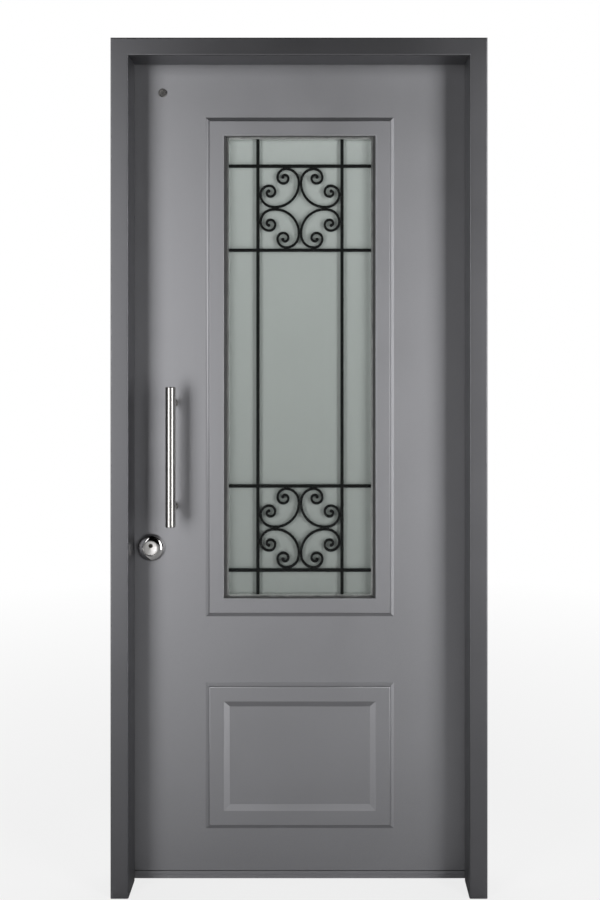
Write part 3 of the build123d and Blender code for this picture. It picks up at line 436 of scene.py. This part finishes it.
# %% Give every node its finish
halves = [f"hinge_{side}_half_{n}" for side in ("leaf", "frame") for n in (1, 2, 3)]
bars = [name for name in nodes if name.startswith("grille_") or name.endswith("_scrolls")]
finish_of = {
    leaf_grey: ["leaf_outer_skin", "bottom_sweep"],
    inside_grey: ["leaf_inner_skin", "window_liner", "glazing_frame"],
    frame_anthracite: ["strike_jamb", "hinge_jamb", "frame_head"],
    zinc: ["corner_cleats", "keep_box", "hinge_stile", "lock_stile", "top_rail", "bottom_rail",
           "glazing_screws", "lock_case", "bolt_carriage", "top_rod", "spindle",
           "hinge_frame_screws", "hinge_leaf_screws"],
    rubber_black: ["frame_seal", "outer_glazing_seal", "inner_glazing_seal", "sweep_blade"],
    wool_yellow: ["wool_slabs"],
    glass_clear: ["outer_pane"],
    glass_frosted: ["inner_pane"],
    spacer_satin: ["glass_spacer"],
    iron_black: bars,
    steel_upright: ["pull_bar", "pull_end_caps", "faceplate", "inside_plate", "hinge_pins",
                    "blank_cap", "thumb_turn", *halves],
    steel_sideways: ["pull_posts", "pull_bolts", "dog_bolts", "main_bolts", "latch_bolt",
                     "lever_handle"],
    disc_satin: ["shield_disc"],
    dome_chrome: ["escutcheon"],
    cylinder_satin: ["cylinder_body"],
    plug_dark: ["key_plug"],
}
dressed = set()
for finish, names in finish_of.items():
    for name in names:
        for slot in nodes[name].material_slots:
            slot.material = finish
        dressed.add(name)
left_bare = sorted(set(nodes) - dressed)
print(len(dressed), "nodes dressed, left bare:", left_bare)

# %% [markdown]
# ## The pressed skin
# The outer sheet is pressed with its two mouldings in one blow. In the photograph their upright
# slopes are a little darker than the flats, which suggests slopes steeper than the solid's. The
# sheet could be drawn again from nothing, but it also carries holes and returned edges, which
# are right as they are. So this takes a copy of the solid's mesh, merges its loose triangles,
# and moves only the points of the slopes: the foot comes in by 3 mm and the shoulder rises by
# 0.8 mm. The sheet's box and the mouldings' whole depth stay, but the slope is steeper than
# the solid's.

# %% Sharpen the pressing
foot_in = 0.003
shoulder_up = 0.0008
slope_wide = 0.009
foot_edge = 0.013
band = 0.0035
shoulder_soft = 0.0005


def merged_copy(name, source):
    """A new object with a copy of the node's mesh, its loose triangles merged at shared points."""
    sheet = bmesh.new()
    sheet.from_mesh(nodes[source].data)
    bmesh.ops.remove_doubles(sheet, verts=sheet.verts, dist=1e-6)
    mesh = bpy.data.meshes.new(name)
    sheet.to_mesh(mesh)
    sheet.free()
    piece = bpy.data.objects.new(name, mesh)
    bpy.context.scene.collection.objects.link(piece)
    return piece


def read_points(mesh):
    """All the vertices of the mesh as an array of x, y, z rows."""
    points = np.empty(len(mesh.vertices) * 3)
    mesh.vertices.foreach_get("co", points)
    return points.reshape(-1, 3)


def round_bends(piece, degrees):
    """Shade smooth, but keep an edge sharp where its faces turn by more than this."""
    piece.data.polygons.foreach_set("use_smooth", np.ones(len(piece.data.polygons), dtype=bool))
    piece.data.set_sharp_from_angle(angle=math.radians(degrees))


def sharpen_ring(points, shoulder_low, shoulder_high):
    """Let s be the distance outwards from the shoulder's rectangle, on x and on z. The foot, near
    s = 9 to 13 mm, moves in by 3 mm, fading to nothing at s = 0. The shoulder rises by 0.8 mm,
    fading to nothing at the band's edge, s = -3.5 mm, and at the foot."""
    middle_point = (shoulder_low + shoulder_high) / 2
    half = (shoulder_high - shoulder_low) / 2
    offset = points[:, [0, 2]] - middle_point
    s = np.abs(offset) - half
    near = (s < foot_edge).all(axis=1)
    inward = foot_in * np.interp(s, [0.0, slope_wide], [0.0, 1.0]) * near[:, None]
    points[:, [0, 2]] -= np.sign(offset) * inward
    places = [-band, -shoulder_soft, shoulder_soft, slope_wide]
    rise = shoulder_up * np.interp(s.max(axis=1), places, [0.0, 1.0, 1.0, 0.0])
    points[:, 1] -= rise * near


pressed_skin = merged_copy("pressed_skin", "leaf_outer_skin")
skin_points = read_points(pressed_skin.data)
above_face = 0.0005
raised = skin_points[skin_points[:, 1] < leaf_front - above_face][:, [0, 2]]
between_rings = 0.58
for ring in (raised[raised[:, 1] > between_rings], raised[raised[:, 1] < between_rings]):
    sharpen_ring(skin_points, ring.min(axis=0), ring.max(axis=0))
    print("shoulder from", ring.min(axis=0).round(4), "to", ring.max(axis=0).round(4))
pressed_skin.data.vertices.foreach_set("co", skin_points.ravel())
pressed_skin.data.update()
pressed_skin.data.materials.clear()
pressed_skin.data.materials.append(leaf_grey)
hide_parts("leaf_outer_skin")
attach(pressed_skin, "leaf")
print("pressed skin of", len(pressed_skin.data.polygons), "faces")

# %% [markdown]
# ## The polished dome round the lock
# Polished metal shows the studio like a mirror, so its shape has to be truly smooth: on the
# solid's flat facets the reflections would break into steps. The real dome is turned on a
# lathe. A turned piece is a profile swept round an axis, and both are easy to write down: the
# profile is a short list of radius and height, rounded by a smooth curve through its points,
# and the sweep is a sine and a cosine.

# %% Turned pieces
def smooth_profile(corners_list, steps):
    """Points along an even Catmull-Rom curve through the corners: each stretch blends its four
    neighbouring corners with the weights of a cubic in t from 0 to 1."""
    ends = [corners_list[0], *corners_list, corners_list[-1]]
    p = np.array(ends, dtype=float)
    t = np.linspace(0.0, 1.0, steps, endpoint=False)[:, None]
    a, b, c, d = (p[k: len(p) - 3 + k, None, :] for k in range(4))
    square = (2 * a - 5 * b + 4 * c - d) * t**2
    cube = (3 * b - a - 3 * c + d) * t**3
    curve = 0.5 * (2 * b + (c - a) * t + square + cube)
    return np.vstack([curve.reshape(-1, 2), p[-1]])


def turned_about_y(name, profile, centre, count):
    """A profile of (radius, depth towards the viewer) swept round a line along Y: point (i, j) is
    at x = cx + r_i cos a_j, z = cz + r_i sin a_j, y = cy - d_i, with a_j = 2 pi j / count."""
    angle = np.linspace(0.0, 2 * np.pi, count, endpoint=False)
    radius, depth = profile[:, :1], profile[:, 1:]
    x = centre[0] + radius * np.cos(angle)
    z = centre[2] + radius * np.sin(angle)
    y = np.broadcast_to(centre[1] - depth, x.shape)
    points = np.stack([x, y, z], axis=-1).reshape(-1, 3)
    i = np.arange(len(profile) - 1)[:, None] * count
    j = np.arange(count)[None, :]
    after = (j + 1) % count
    faces = np.stack([i + j, i + after, i + count + after, i + count + j], axis=-1)
    mesh = bpy.data.meshes.new(name)
    mesh.from_pydata(points.tolist(), [], faces.reshape(-1, 4).tolist())
    mesh.update()
    piece = bpy.data.objects.new(name, mesh)
    bpy.context.scene.collection.objects.link(piece)
    return piece


def faces_outward(piece):
    """Turn every face of a closed piece outwards."""
    sheet = bmesh.new()
    sheet.from_mesh(piece.data)
    bmesh.ops.recalc_face_normals(sheet, faces=sheet.faces)
    sheet.to_mesh(piece.data)
    sheet.free()


def stand_for(piece, finish, node, body):
    """Finish the piece, let it stand for the solid node, and let it move with the body."""
    piece.data.materials.clear()
    piece.data.materials.append(finish)
    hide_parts(node)
    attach(piece, body)


dome_low, dome_high = corners("escutcheon")
dome_middle = (dome_low + dome_high) / 2
dome_place = np.array([dome_middle[0], dome_high[1], dome_middle[2]])
dome_r = (dome_high[0] - dome_low[0]) / 2
dome_h = dome_high[1] - dome_low[1]
disc_low, disc_high = corners("shield_disc")
disc_gap = 0.0003
disc_r = (disc_high[0] - disc_low[0]) / 2 + disc_gap
back_chamfer = 0.0004
crown_points = [
    (dome_r, back_chamfer),
    (dome_r, 0.0020),
    (dome_r * 0.965, 0.0052),
    (dome_r * 0.87, 0.0098),
    (dome_r * 0.72, 0.0128),
    (disc_r + 0.0016, dome_h),
    (disc_r + 0.0004, dome_h - 0.0003),
    (disc_r, dome_h - 0.0012),
]
crown = smooth_profile(crown_points, 10)
around = np.vstack([[(disc_r, 0.0), (dome_r - back_chamfer, 0.0)], crown, [(disc_r, 0.0)]])
dome_count = 160
lock_dome = turned_about_y("lock_dome", around, dome_place, dome_count)
faces_outward(lock_dome)
round_bends(lock_dome, 50.0)
stand_for(lock_dome, dome_chrome, "escutcheon", "leaf")
print("dome of", len(lock_dome.data.polygons), "faces, radius", round(dome_r * 1000, 1), "mm")

# %% [markdown]
# ## The floor
# A plain pale floor stands under the door. The camera sees it almost white, like the studio
# behind, but near the door part of what it sees is the real lit surface, so the door's shadow
# stays. Farther out that part fades, and the floor runs into the white without a horizon.

# %% Floor
def flat_grid(name, half, z, count):
    """A level square of count x count points from -half to half on x and y."""
    line = np.linspace(-half, half, count)
    x, y = np.meshgrid(line, line, indexing="ij")
    points = np.stack([x, y, np.full_like(x, z)], axis=-1).reshape(-1, 3)
    a = np.arange(count - 1)[:, None] * count + np.arange(count - 1)[None, :]
    faces = np.stack([a, a + count, a + count + 1, a + 1], axis=-1).reshape(-1, 4)
    mesh = bpy.data.meshes.new(name)
    mesh.from_pydata(points.tolist(), [], faces.tolist())
    mesh.update()
    piece = bpy.data.objects.new(name, mesh)
    bpy.context.scene.collection.objects.link(piece)
    return piece


floor = flat_grid("studio_floor", 60.0, 0.0, 121)
floor_grey = (0.76, 0.76, 0.76)
floor_paint, floor_tree, floor_shader, floor_where = new_finish("floor_pale", floor_grey, 0.0, 0.8)
floor_mottle = noise(floor_tree, floor_where, 3.0)
tint(floor_tree, floor_shader, floor_mottle, (0.74, 0.74, 0.74), (0.78, 0.78, 0.78))
glow = shade_node(floor_tree, "ShaderNodeEmission", Color=(1.0, 1.0, 1.0, 1.0), Strength=1.0)
floor_ray = floor_tree.nodes.new("ShaderNodeLightPath")
reach = floor_tree.nodes.new("ShaderNodeVectorMath")
reach.operation = "LENGTH"
floor_tree.links.new(floor_where, reach.inputs[0])
fade_near = 0.8
fade_far = 3.5
near_share = 0.80
whiteness = spread(floor_tree, reach.outputs["Value"], fade_near, fade_far, near_share, 1.0)
share = math_node(floor_tree, "MULTIPLY", floor_ray.outputs["Is Camera Ray"], whiteness)
floor_mix = floor_tree.nodes.new("ShaderNodeMixShader")
floor_tree.links.new(share, floor_mix.inputs[0])
floor_tree.links.new(floor_shader.outputs[0], floor_mix.inputs[1])
floor_tree.links.new(glow.outputs[0], floor_mix.inputs[2])
floor_tree.links.new(floor_mix.outputs[0], floor_tree.nodes["Material Output"].inputs["Surface"])
floor.data.materials.append(floor_paint)
print("floor laid")

# %% [markdown]
# ## The view transform
# The render shows its colours through Blender's Standard view transform.

# %% View transform
bpy.context.scene.view_settings.view_transform = "Standard"
